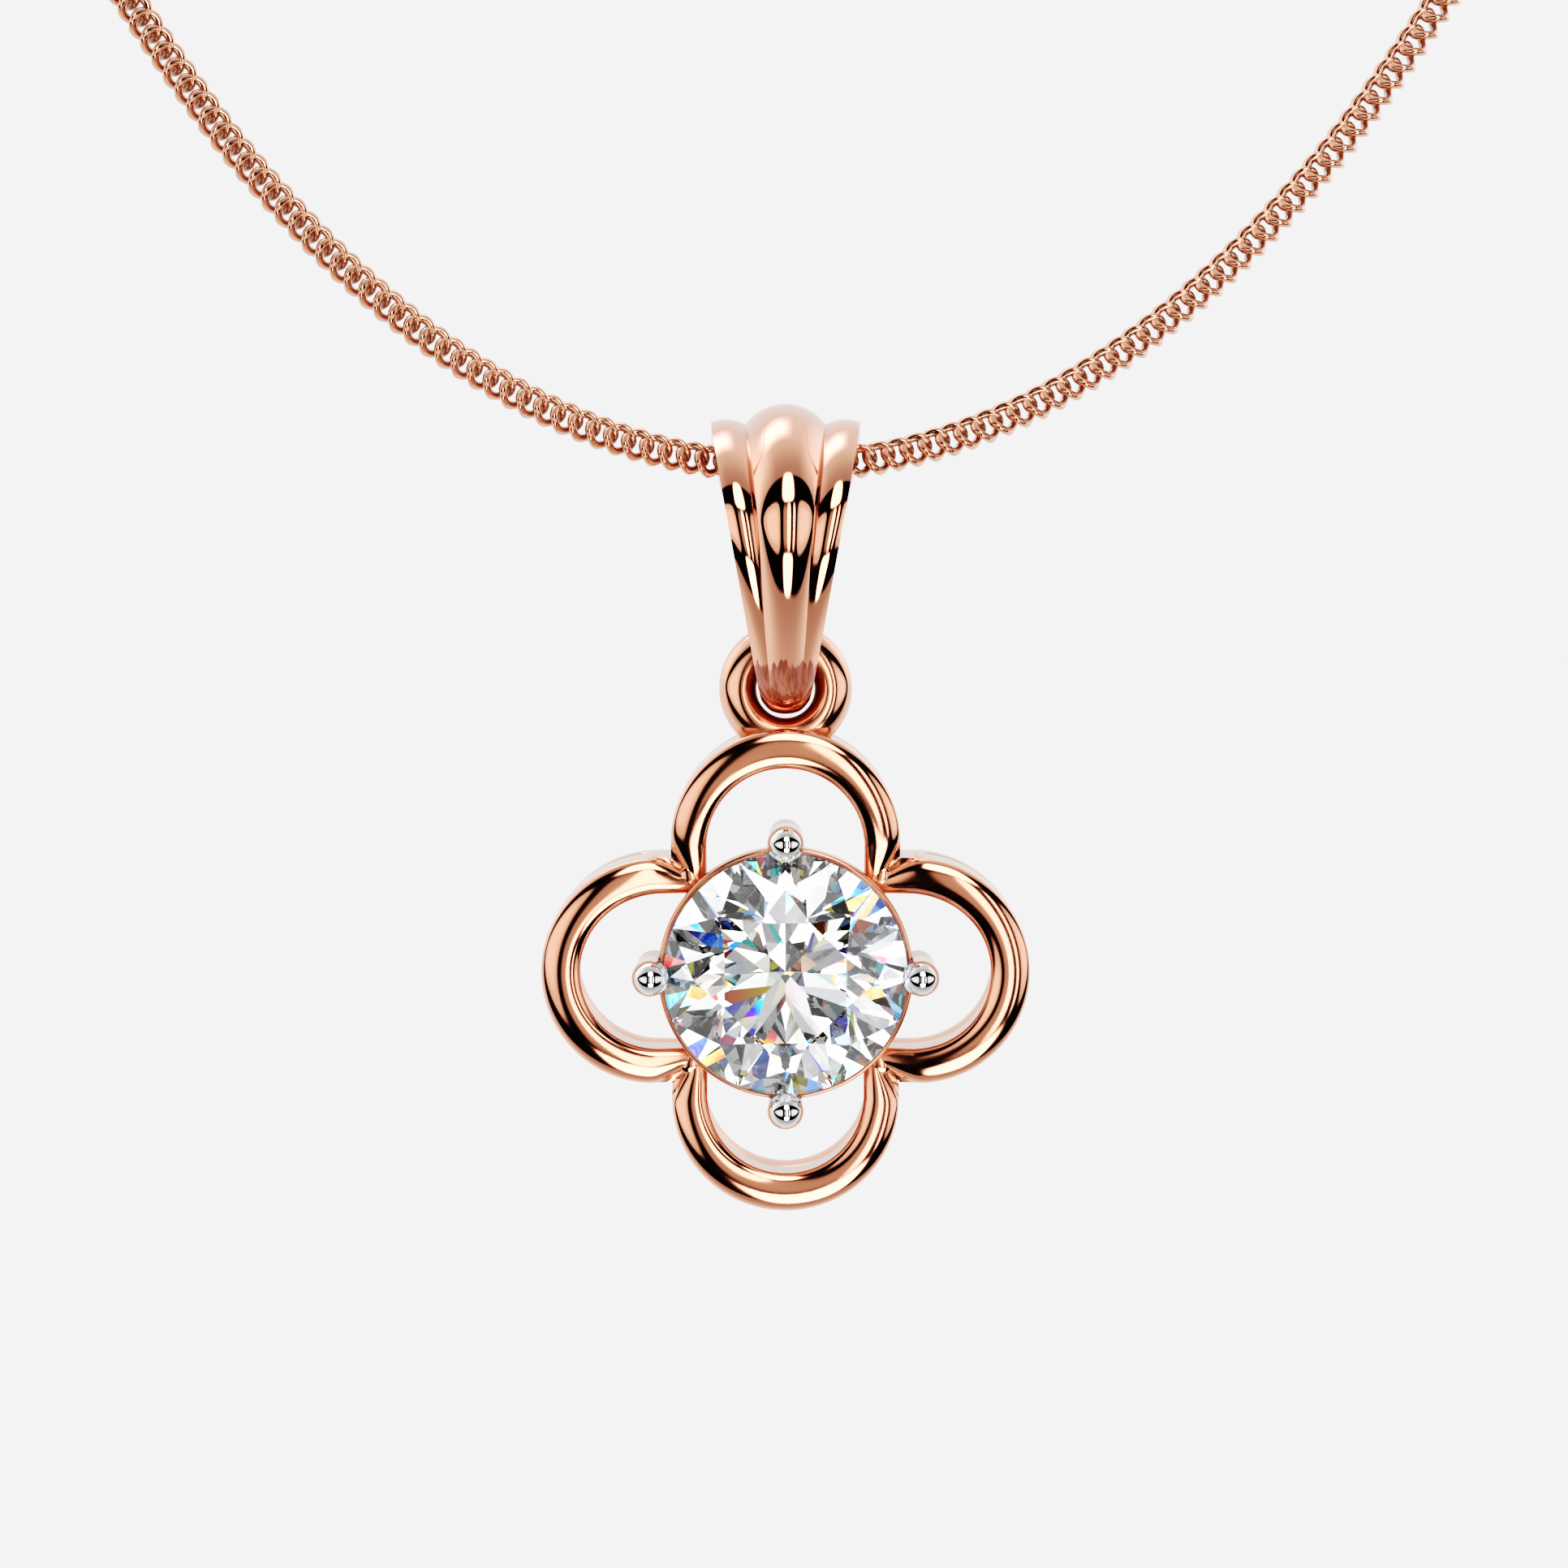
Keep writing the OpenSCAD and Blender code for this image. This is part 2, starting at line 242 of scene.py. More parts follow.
def rod(start, end, width):
    """A straight round rod between two points."""
    bm = bmesh.new()
    run = Vector(end) - Vector(start)
    bmesh.ops.create_cone(bm, cap_ends=True, segments=32, radius1=width / 2, radius2=width / 2,
                          depth=run.length)
    turn = run.to_track_quat("Z", "Y").to_matrix().to_4x4()
    place = Matrix.Translation((Vector(start) + Vector(end)) / 2) @ turn
    bmesh.ops.transform(bm, matrix=place, verts=bm.verts)
    return bm


def add_part(bm, part, place=Matrix.Identity(4), free=True):
    """Adds a finished part to a mesh under construction, and by default lets go of the part."""
    mesh = bpy.data.meshes.new("part")
    part.to_mesh(mesh)
    if free:
        part.free()
    mesh.transform(place)
    bm.from_mesh(mesh)
    bpy.data.meshes.remove(mesh)


def carve(bm, cutter):
    """Takes the cutter's shape out of a closed mesh."""
    shapes = []
    for part in (bm, cutter):
        mesh = bpy.data.meshes.new("shape")
        part.to_mesh(mesh)
        part.free()
        shapes.append(bpy.data.objects.new("shape", mesh))
        bpy.context.scene.collection.objects.link(shapes[-1])
    cut = shapes[0].modifiers.new("cut", "BOOLEAN")
    cut.operation, cut.solver, cut.object = "DIFFERENCE", "EXACT", shapes[1]
    carved = bmesh.new()
    carved.from_object(shapes[0], bpy.context.evaluated_depsgraph_get())
    for shape in shapes:
        mesh = shape.data
        bpy.data.objects.remove(shape)
        bpy.data.meshes.remove(mesh)
    return carved


def make_piece(bm, name, place, body, slot, material, node, crease=32):
    """Turns a mesh in millimetres into a piece of the scene that rides on a body and stands for a node."""
    bmesh.ops.transform(bm, matrix=place, verts=bm.verts)
    mesh = bpy.data.meshes.new(name)
    bm.to_mesh(mesh)
    bm.free()
    if crease:
        mesh.shade_smooth()
        mesh.set_sharp_from_angle(angle=math.radians(crease))
    mesh.materials.append(material)
    piece = bpy.data.objects.new(name, mesh)
    bpy.context.scene.collection.objects.link(piece)
    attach(piece, body)
    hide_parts(node)
    # The stone is lit by the studio alone, and shows nothing of the rose gold round it
    piece.visible_transmission = "rose_gold" not in slot
    return piece


# Materials

def add(tree, kind, settings, inputs):
    """Adds a node with its settings. An input is a value, a node or one of a node's outputs."""
    node = tree.nodes.new(kind)
    for key, value in settings.items():
        setattr(node, key, value)
    for key, value in inputs.items():
        if isinstance(value, bpy.types.Node):
            value = value.outputs[0]
        if isinstance(value, bpy.types.NodeSocket):
            tree.links.new(value, node.inputs[key])
        else:
            node.inputs[key].default_value = value
    return node


def new_material(name):
    """A material with an empty node tree."""
    material = bpy.data.materials.new(name)
    material.use_nodes = True
    material.node_tree.nodes.clear()
    return material


def polished_metal(name, colour, roughness, wave, corner, shade_band_height=None):
    """Cast metal after the buffing wheel: a mirror with faint hairlines, drawn about 0.04 mm apart so that
    they show, and a slight wave left by the hand that held it. In its corners it is duller, and its colour
    is darkened there by painted shade, by the shares in corner; the same painted shade is laid round the
    height given last, where the bail's foot wraps the hanging ring."""
    material = bpy.data.materials.get(name)
    if material:
        return material
    material = new_material(name)
    tree = material.node_tree
    place = add(tree, "ShaderNodeTexCoord", {}, {})
    at = place.outputs["Object"]
    # Lengths of a hairline, of the hand's wave and of the spots that the wheel took less well
    hairline, swell, spot = 0.28 * MM, 1.6 * MM, 0.7 * MM
    streak = add(tree, "ShaderNodeMapping", {}, {
        "Vector": at, "Rotation": (0.3, 0.5, 0.6), "Scale": (1, 1, 7)})
    lines = add(tree, "ShaderNodeTexNoise", {}, {"Vector": streak, "Scale": 1 / hairline, "Detail": 3})
    hand = add(tree, "ShaderNodeTexNoise", {}, {"Vector": at, "Scale": 1 / swell, "Detail": 1})
    dull = add(tree, "ShaderNodeTexNoise", {}, {"Vector": at, "Scale": 1 / spot, "Detail": 4})
    polish = add(tree, "ShaderNodeMapRange", {}, {
        "Value": dull, "From Min": 0.3, "From Max": 0.7,
        "To Min": roughness * 0.8, "To Max": roughness * 1.25})
    soft = add(tree, "ShaderNodeBump", {}, {"Strength": wave, "Distance": 0.02 * MM, "Height": hand})
    fine = add(tree, "ShaderNodeBump", {}, {
        "Strength": 0.06, "Distance": 0.004 * MM, "Height": lines, "Normal": soft})
    # Corners are rougher and darker by painted shade, and the lacquer over the metal is pale where seen
    # aslant
    corners = add(tree, "ShaderNodeAmbientOcclusion", {"samples": 6}, {"Distance": 2.2 * MM})
    unshaded = add(tree, "ShaderNodeMapRange", {}, {
        "Value": corners.outputs["AO"], "From Min": 0.1, "From Max": 0.8})
    if shade_band_height:
        # Painted shade where the bail's foot wraps the hanging ring, in streaks along the bail with a ragged
        # border
        strand, jag, reach, soft_edge = 0.13 * MM, 0.8 * MM, 0.53 * MM, 0.05 * MM
        upright = add(tree, "ShaderNodeMapping", {}, {"Vector": at, "Scale": (1, 0.3, 0.1)})
        drawn = add(tree, "ShaderNodeTexNoise", {}, {"Vector": upright, "Scale": 1 / strand, "Detail": 2})
        height = add(tree, "ShaderNodeSeparateXYZ", {}, {"Vector": at})
        ragged = add(tree, "ShaderNodeMath", {"operation": "MULTIPLY_ADD"}, {
            0: drawn, 1: jag, 2: height.outputs["Z"]})
        above = add(tree, "ShaderNodeMath", {"operation": "SUBTRACT"}, {0: ragged, 1: shade_band_height + jag / 2})
        away = add(tree, "ShaderNodeMath", {"operation": "ABSOLUTE"}, {0: above})
        streaks = add(tree, "ShaderNodeMapRange", {}, {
            "Value": drawn, "From Min": 0.45, "From Max": 0.68, "To Max": 0.5})
        foot = add(tree, "ShaderNodeMapRange", {"interpolation_type": "SMOOTHSTEP"}, {
            "Value": away, "From Min": reach - soft_edge, "From Max": reach + soft_edge, "To Min": streaks})
        unshaded = add(tree, "ShaderNodeMath", {"operation": "MULTIPLY"}, {0: unshaded, 1: foot})
    # Painted shade: the colour falls to the shares in corner where the metal is enclosed
    tone = add(tree, "ShaderNodeMix", {"data_type": "RGBA"}, {
        0: unshaded, 6: (*[c * shade for c, shade in zip(colour, corner)], 1), 7: (*colour, 1)})
    dulled = add(tree, "ShaderNodeMapRange", {}, {"Value": unshaded, "To Min": 0.46, "To Max": 0.0})
    rough = add(tree, "ShaderNodeMath", {"operation": "ADD"}, {0: polish, 1: dulled})
    slant = add(tree, "ShaderNodeLayerWeight", {}, {"Blend": 0.6})
    metal = add(tree, "ShaderNodeBsdfPrincipled", {}, {
        "Base Color": tone.outputs[2], "Metallic": 1.0, "Roughness": rough, "Normal": fine,
        "Coat Weight": slant.outputs["Facing"], "Coat IOR": 3.1, "Coat Roughness": 0.03})
    add(tree, "ShaderNodeOutputMaterial", {}, {"Surface": metal})
    return material


def rose_gold():
    """14 carat rose gold, cast and buffed: a warm copper-pink mirror."""
    # The shares in corner darken its corners and the bail's foot round the hanging ring: painted shade
    return polished_metal("rose_gold_buffed", bpy.context.scene.pendant_finish.rose, roughness=0.06,
                          wave=0.12, corner=(0.5, 0.33, 0.27), shade_band_height=PIN.z - 1.03 * MM)


def satin_gold():
    """The same gold on the clover, where only the tumbling barrel reaches: its reflections are softer."""
    # The shares in corner darken its corners: painted shade
    return polished_metal("rose_gold_tumbled", bpy.context.scene.pendant_finish.rose, roughness=0.1,
                          wave=0.12, corner=(0.7, 0.62, 0.56))


def chain_gold():
    """Drawn rose gold wire, tumbled bright: a little softer than the buffed bail."""
    # The shares in corner darken its corners: painted shade
    return polished_metal("rose_gold_drawn_wire", bpy.context.scene.pendant_finish.chain, roughness=0.15,
                          wave=0.2, corner=(0.55, 0.66, 0.68))


def white_gold():
    """Rhodium-plated white gold: a cool grey mirror."""
    # The shares in corner darken its corners: painted shade
    return polished_metal("white_gold_rhodium", bpy.context.scene.pendant_finish.white, roughness=0.05,
                          wave=0.12, corner=(0.6, 0.6, 0.6))


def cut_diamond():
    """Colourless diamond with a scaife polish: clear, and it bends light by its index of 2.417."""
    material = new_material("diamond_polished")
    stone = add(material.node_tree, "ShaderNodeBsdfPrincipled", {}, {
        "Base Color": (*linear("#FEFEFF"), 1), "Roughness": 0.0, "IOR": 2.417, "Transmission Weight": 1.0})
    add(material.node_tree, "ShaderNodeOutputMaterial", {}, {"Surface": stone})
    return material


# The stone

def stone_radius():
    """Half of the stone's width in millimetres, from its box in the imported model."""
    return (STONE_BOX[1].x - STONE_BOX[0].x) / 2 / MM


def upper_slope(r, corner):
    """Slope of the sixteen upper halves, which run from the girdle to the star's outer corners."""
    size = bpy.context.scene.pendant_stone
    star_r = (size.table * r * math.cos(corner) + r) / 2
    star_h = (r - star_r * math.cos(corner)) * math.tan(size.crown)
    return star_r, star_h, math.atan(star_h / ((r - star_r) * math.cos(corner / 2)))


def girdle_front():
    """Middle of the girdle in the clover's frame, worked back from the table's height."""
    size = bpy.context.scene.pendant_stone
    r = stone_radius()
    crown = r * (1 - size.table) * math.tan(size.crown)
    return (SWAG.y - STONE_BOX[0].y) / MM - crown - mm(size.girdle) / 2


class PENDANT_OT_diamond(bpy.types.Operator):
    """Cut a round brilliant from a round blank, one flat at a time"""
    bl_idname = "pendant.diamond"
    bl_label = "Diamond"

    def execute(self, context):
        size = context.scene.pendant_stone
        r = stone_radius()
        corner = math.pi / 8
        half = mm(size.girdle) / 2
        table_h = r * (1 - size.table) * math.tan(size.crown)
        star_r, star_h, upper = upper_slope(r, corner)
        star = math.atan((table_h - star_h) / (star_r - size.table * r * math.cos(corner)))
        lower_r = size.lower * r
        lower_h = (r - lower_r * math.cos(corner)) * math.tan(size.pavilion)
        lower = math.atan(lower_h / ((r - lower_r) * math.cos(corner / 2)))
        chord = r * math.cos(corner / 2)
        cuts = [(0, 0, half + table_h, 0)]
        for k in range(8):
            main, between = corner + k * math.pi / 4, k * math.pi / 4
            cuts.append((main, r, half, size.crown))
            cuts.append((between, star_r, half + star_h, star))
            cuts.append((main, r, -half, math.pi - size.pavilion))
        for k in range(16):
            turn = corner * (k + 0.5)
            cuts.append((turn, chord, half, upper))
            cuts.append((turn, chord, -half, math.pi - lower))
        bm = bmesh.new()
        bmesh.ops.create_cone(bm, cap_ends=True, segments=128, radius1=r, radius2=r, depth=4 * r)
        for turn, off, height, slope in cuts:
            around = Vector((math.cos(turn), math.sin(turn), 0))
            flat = bmesh.ops.bisect_plane(
                bm, geom=bm.verts[:] + bm.edges[:] + bm.faces[:], dist=1e-5, clear_outer=True,
                plane_co=around * off + Z * height,
                plane_no=around * math.sin(slope) + Z * math.cos(slope))
            rim = [g for g in flat["geom_cut"] if isinstance(g, bmesh.types.BMEdge)]
            bmesh.ops.contextual_create(bm, geom=rim)
        bmesh.ops.remove_doubles(bm, verts=bm.verts, dist=2e-4)
        bmesh.ops.dissolve_degenerate(bm, edges=bm.edges, dist=2e-4)
        bmesh.ops.recalc_face_normals(bm, faces=bm.faces)
        bmesh.ops.translate(bm, vec=(0, 0, girdle_front()), verts=bm.verts)
        make_piece(bm, "round_brilliant", AT_CLOVER, "pendant", "diamond", cut_diamond(), "diamond", crease=0)
        return {"FINISHED"}


# The clover and its setting

# Height in the clover's frame at which a white prong tip is soldered on its rose gold post
PRONG_JOINT = 0.8


def petal_outline(wall, rim, dome, depth, groove, pinch):
    """Section of a petal: sideways offset and height over the rim's outer edge. The rim is fuller towards
    its inner lip, which stands over the wall. Where two petals meet, its outer edge draws in and leaves a
    sloping ledge."""
    half, bevel, step = wall / 2, 0.04, 0.03
    # The line round the wall: half of its width, and its height
    mouth, line = 0.09, -1.33
    edge, crest, lip = half - 0.34 * pinch, half - 0.56 - 0.08 * pinch, half - rim
    inner = step - half
    side = [(half - bevel, -depth), (half, bevel - depth), (half, line - mouth), (half - groove, line),
            (half, line + mouth), (half, -0.1 - 0.3 * pinch), (half - 0.14 * pinch, -0.06 - 0.24 * pinch)]
    front = []
    for i in range(13):
        turn = math.pi / 2 * i / 12
        front.append((mix(crest, edge, math.cos(turn)), dome * math.sin(turn)))
    for i in range(1, 11):
        turn = math.pi / 2 * i / 10
        front.append((mix(crest, lip, math.sin(turn)), step + (dome - step) * math.cos(turn)))
    far_side = [(lip + 0.02, -0.08), (lip + 0.08, -0.15), (inner - 0.02, -0.2), (inner, -0.24),
                (inner, line + mouth), (inner + 0.05, line), (inner, line - mouth), (inner, bevel - depth),
                (inner + bevel, -depth)]
    return side + front + far_side


def clover_walls():
    """Four petals swept as arches of wall, mitred on the diagonals and joined there."""
    size = bpy.context.scene.pendant_clover
    arc, wall = mm(size.arc), mm(size.wall)
    arc_centre = mm(size.reach) - arc - wall / 2
    foot, legs, arch = 1.5, 18, 72
    # Heights at which the rim's outer edge starts to draw in, and where it has drawn in fully
    start, end = arc_centre + 0.2, arc + wall / 2 - 0.31

    def pinch_at(height):
        """How far the edge has drawn in at a height, from 0 to 1."""
        return min(1, max(0, (start - height) / (start - end))) ** 1.6

    stations = []
    for i in range(legs):
        height = mix(foot, arc_centre - 0.05, i / (legs - 1))
        stations.append((Vector((arc, height, 0)), X, 0, pinch_at(height)))
    for i in range(arch + 1):
        turn = math.pi * i / arch
        out = Vector((math.cos(turn), math.sin(turn), 0))
        centre = out * arc + Vector((0, arc_centre, 0))
        # The line round the wall runs out before it reaches the petal's straight legs
        stations.append((centre, out, 0.1 if 2 < i < arch - 2 else 0, pinch_at(centre.y)))
    stations += [(Vector((-c.x, c.y, 0)), -X, 0, pinch) for c, _, _, pinch in stations[legs - 1::-1]]
    # The rim is widest at the petal's tip. It dips towards the stone, as far as its own height and no deeper
    narrower, fall, fall_start, rim_deep = 0.09, 0.028, 6, 0.3
    rings = []
    for centre, out, groove, pinch in stations:
        rim = mm(size.rim) - narrower * (1 - max(0, out.y) ** 0.7)
        dip = fall * max(0, fall_start - centre.y) ** 2
        outline = petal_outline(wall, rim, mm(size.dome), mm(size.depth), groove, pinch)
        rings.append([centre + out * u + Z * (mm(size.front) + d - dip * min(1, max(0, 1 + d / rim_deep)))
                      for u, d in outline])
    petal = bmesh.new()
    sweep(petal, rings, False)
    for side in (-1, 1):
        bmesh.ops.bisect_plane(petal, geom=petal.verts[:] + petal.edges[:] + petal.faces[:], dist=1e-5,
                               clear_outer=True, plane_co=(0, 0, 0), plane_no=(side, -1, 0))
    walls = bmesh.new()
    for quarter in range(4):
        add_part(walls, petal, Matrix.Rotation(quarter * math.pi / 2, 4, "Z"), free=False)
    petal.free()
    bmesh.ops.remove_doubles(walls, verts=walls.verts, dist=1e-3)
    bmesh.ops.recalc_face_normals(walls, faces=walls.faces)
    return walls


def gallery():
    """The ring that the stone sits in: a rounded rim with a slanted seat inside it."""
    size = bpy.context.scene.pendant_clover
    r, seat = mm(size.gallery), stone_radius() + 0.04
    rim = girdle_front() - mm(bpy.context.scene.pendant_stone.girdle) / 2 - 0.01
    inner, back, soft, lip, seat_deep = 2.95, rim - 0.45, 0.03, 0.06, 0.28
    rounding = [(r - lip + lip * math.cos(t), rim - lip + lip * math.sin(t))
                for t in (math.pi / 2 * i / 6 for i in range(7))]
    return lathe(rounding + [(seat, rim - soft), (inner, rim - seat_deep), (inner, back + soft),
                             (inner + soft, back), (r - soft, back), (r, back + soft)], 192)


def hanging_ring():
    """A ring whose section is fuller towards its hole and slopes away to its outer edge."""
    size = bpy.context.scene.pendant_clover
    crest, slope_out, slope_in = mm(size.hang) - 0.125, 0.63, 0.35
    outline = []
    for i in range(48):
        turn = math.pi * i / 24
        reach = slope_out if math.cos(turn) > 0 else slope_in
        outline.append((crest + reach * math.cos(turn), mm(size.hang_deep) / 2 * math.sin(turn)))
    return lathe(outline, 160)


class PENDANT_OT_clover(bpy.types.Operator):
    """Build the soldered clover: petals, gallery, posts, base ring and hanging ring"""
    bl_idname = "pendant.clover"
    bl_label = "Clover"

    def execute(self, context):
        size = context.scene.pendant_clover
        reach, joint, back = mm(size.prong_reach), PRONG_JOINT, 0.1
        base_back, base_r, base_wire, stay = 1.5, 1.25, 0.68, 0.6
        post = mm(size.prong) - 0.08
        bm = clover_walls()
        add_part(bm, gallery())
        for quarter in range(4):
            turn = Matrix.Rotation(quarter * math.pi / 2, 4, "Z")
            add_part(bm, rod((reach, 0, -back), (reach, 0, joint), post), turn)
            add_part(bm, ball(post), turn @ Matrix.Translation((reach, 0, -back)))
            add_part(bm, rod((reach, 0, -back), (base_r, 0, -base_back), stay), turn)
            # A low lump of solder in the corner between two petals and the gallery
            lump, lump_r, lump_front = 0.5, 3.56, 0.56
            corner = turn @ Matrix.Rotation(math.pi / 4, 4, "Z") @ Matrix.Translation((lump_r, 0, lump_front))
            add_part(bm, ball(lump, (1.2, 1, 0.36)), corner)
        add_part(bm, torus(base_r, base_wire), Matrix.Translation((0, 0, -base_back)))
        hang = (PIN.z - STONE_HEIGHT) / MM - mm(size.hang)
        add_part(bm, hanging_ring(), Matrix.Translation((0, hang, 0)))
        make_piece(bm, "clover_setting", AT_CLOVER, "pendant", "polished_rose_gold", satin_gold(),
                   "clover_frame")
        return {"FINISHED"}


class PENDANT_OT_prongs(bpy.types.Operator):
    """Build the four prong tips, round-headed and notched for the stone's girdle"""
    bl_idname = "pendant.prongs"
    bl_label = "Prongs"

    def execute(self, context):
        size = context.scene.pendant_clover
        stone = context.scene.pendant_stone
        r, gap = stone_radius(), 0.03
        head, crown, soft = mm(size.prong) / 2, 1.5, 0.02
        shank = head - soft
        start = math.asin(-math.sqrt(head * head - shank * shank) / head)
        turns = [mix(start, math.pi / 2, i / 24) for i in range(25)]
        outline = [(0, PRONG_JOINT), (shank - soft, PRONG_JOINT), (shank, PRONG_JOINT + soft)]
        outline += [(head * math.cos(t), crown + head * math.sin(t)) for t in turns]
        # The notch leaves a small gap round the gallery, the girdle and the crown
        back, front = (girdle_front() + side * mm(stone.girdle) / 2 + gap for side in (-1, 1))
        slope = upper_slope(r, math.pi / 8)[2]
        cutter_outline = [(0, -1), (mm(size.gallery) + gap, -1), (mm(size.gallery) + gap, back),
                          (r + gap, back), (r + gap, front), (0, front + (r + gap) * math.tan(slope))]
        for name, quarter in (("right", 0), ("top", 1), ("left", 2), ("bottom", 3)):
            tip = lathe(outline, 48, ring=False)
            bmesh.ops.translate(tip, vec=(mm(size.prong_reach), 0, 0), verts=tip.verts)
            bm = carve(tip, lathe(cutter_outline, 256, ring=False))
            bmesh.ops.rotate(bm, matrix=Matrix.Rotation(quarter * math.pi / 2, 3, "Z"), verts=bm.verts)
            make_piece(bm, f"prong_tip_{name}", AT_CLOVER, "pendant", "white_gold", white_gold(),
                       f"prong_{name}")
        return {"FINISHED"}


# The bail

# Thickness of the bail's strip in millimetres
THICK_TOP, THICK_FOOT = 0.96, 1.24


def bail_loop(reach):
    """The loop's outer side from its top round the front and back: (front, height, slope of its normal)."""
    top, middle, pull, tangent = 1.61, -1.5, 1.5, math.radians(-35)
    drop = (SWAG.z - PIN.z) / MM
    # The foot is bent round the hanging ring's metal, with some play
    ring_half, play = 0.475, 0.2
    foot_r = THICK_FOOT + ring_half + play
    # An upper half of an ellipse, a curve that runs down and inwards from it, and the round foot
    half = []
    for i in range(36):
        t = math.pi / 2 * (1 - i / 36)
        height = top - middle
        half.append((reach * math.cos(t), middle + height * math.sin(t),
                     math.atan2(math.sin(t) / height, math.cos(t) / reach)))
    side = Vector((reach, middle))
    foot = Vector((foot_r * math.cos(tangent), -drop + foot_r * math.sin(tangent)))
    points = [side, side - Vector((0, pull)),
              foot + pull * Vector((-math.sin(tangent), math.cos(tangent))), foot]
    for i in range(32):
        t = i / 32
        weights = (1 - t) ** 3, 3 * (1 - t) ** 2 * t, 3 * (1 - t) * t * t, t ** 3
        p = sum((c * w for c, w in zip(points, weights)), Vector((0, 0)))
        weights = (1 - t) ** 2, 2 * (1 - t) * t, t * t
        d = sum(((b - a) * w for a, b, w in zip(points, points[1:], weights)), Vector((0, 0)))
        half.append((p.x, p.y, math.atan2(d.x, -d.y)))
    for i in range(25):
        t = mix(tangent, -math.pi / 2, i / 24)
        half.append((foot_r * math.cos(t), -drop + foot_r * math.sin(t), t))
    return half + [(-f, h, math.pi - t) for f, h, t in half[-2:0:-1]]


def bail_outline(low, top_w, foot_w):
    """Section of the strip, from 0 at the top to 1 at the foot: a round middle lobe between two others."""
    half, thick = mix(top_w, foot_w, low) / 2, mix(THICK_TOP, THICK_FOOT, low)
    crease_x, crease, sag = 0.54 * half, mix(0.52, 0.06, low ** 1.35), mix(0, 0.35, low)
    edge, bulge = crease + mix(-0.06, 0.28, low * low), mix(0.095, 0.04, low)
    lobe_r = (crease_x ** 2 + crease ** 2) / (2 * crease)
    lobe_turn = math.asin(crease_x / lobe_r)
    steps = [i / 14 for i in range(29)]
    flank = [(mix(half, crease_x, t), mix(-edge, -crease, t) + 4 * bulge * t * (1 - t)) for t in steps[:14]]
    lobe = [(lobe_r * math.sin(lobe_turn * (1 - t)), lobe_r * (math.cos(lobe_turn * (1 - t)) - 1))
            for t in steps]
    inside = [(q * half, sag * q * q - thick) for q in [i / 6 - 1 for i in range(13)]]
    return flank + lobe + [(-x, y) for x, y in flank[::-1]] + inside


class PENDANT_OT_bail(bpy.types.Operator):
    """Sweep the fluted bail round its loop"""
    bl_idname = "pendant.bail"
    bl_label = "Bail"

    def execute(self, context):
        size = context.scene.pendant_bail
        loop = bail_loop(mm(size.reach))
        highest, lowest = loop[0][1], min(height for _, height, _ in loop)
        rings = []
        for front, height, slope in loop:
            outline = bail_outline((highest - height) / (highest - lowest), mm(size.top), mm(size.foot))
            rings.append([Vector((x, -(front + y * math.cos(slope)), height + y * math.sin(slope)))
                          for x, y in outline])
        bm = bmesh.new()
        sweep(bm, rings, True)
        bmesh.ops.recalc_face_normals(bm, faces=bm.faces)
        make_piece(bm, "fluted_bail", AT_SWAG, "bail", "polished_rose_gold", rose_gold(), "bail", crease=24)
        return {"FINISHED"}


# The chain and its clasp

# Half of the chain's route in millimetres, from its lowest point to the clasp: right, back, up
ROUTE = [
    (0, 0, 0), (2.5, 0, 0.23), (5, 0, 0.94), (7.5, 0, 2.14), (10, 0, 3.88), (12.5, 0, 6.21),
    (15, 0, 9.23), (18, 0, 13.9), (21.5, 0.6, 20.5), (26, 2.5, 29.5), (31, 6.5, 39.5),
    (36, 13, 51), (41.5, 22.5, 63), (46, 35, 75), (48, 49, 86), (46.5, 63, 95.5),
    (41.5, 75.5, 103), (33.5, 86, 109), (22.5, 93.5, 113), (11, 97.3, 114.8), (3.2, 98, 115)]


def link_places(pitch):
    """Evenly spaced places along one half of the chain: (place, direction, the chain's upper side)."""
    row = [Vector((-ROUTE[1][0], ROUTE[1][1], ROUTE[1][2]))] + [Vector(p) for p in ROUTE]
    row.append(2 * row[-1] - row[-2])
    line = []
    for a, b, c, d in zip(row, row[1:], row[2:], row[3:]):
        for i in range(40):
            t = i / 40
            line.append(0.5 * (2 * b + (c - a) * t + (2 * a - 5 * b + 4 * c - d) * t * t
                               + (3 * b - a - 3 * c + d) * t ** 3))
    line.append(row[-2])
    length = sum((b - a).length for a, b in zip(line, line[1:]))
    count = round(length / pitch)
    places, run, wanted, upper = [], 0, 0, Z.copy()
    for a, b in zip(line, line[1:]):
        step = (b - a).length
        ahead = (b - a) / step
        upper = (upper - ahead * upper.dot(ahead)).normalized()
        while wanted <= count and run + step >= wanted * length / count - 1e-6:
            places.append((a + ahead * (wanted * length / count - run), ahead, upper))
            wanted += 1
        run += step
    return places


def curb_link(size, around, sides):
    """One curb link: a ring of wire, twisted along the chain and turned so that its left end comes forward
    and its foot to the left."""
    radius, wire = (mm(size.width) - mm(size.wire)) / 2, mm(size.wire)
    longer = (mm(size.long) - wire) / 2 - radius
    bm = torus(radius, wire, around, sides)
    settle = Matrix.Rotation(size.roll, 3, "Y") @ Matrix.Rotation(size.lean, 3, "Z")
    for vert in bm.verts:
        share = max(-1, min(1, vert.co.x / radius))
        turn = Matrix.Rotation(size.twist * share, 3, "X") @ Matrix.Rotation(math.pi / 2, 3, "X")
        vert.co = settle @ (turn @ vert.co + X * longer * share)
    return bm


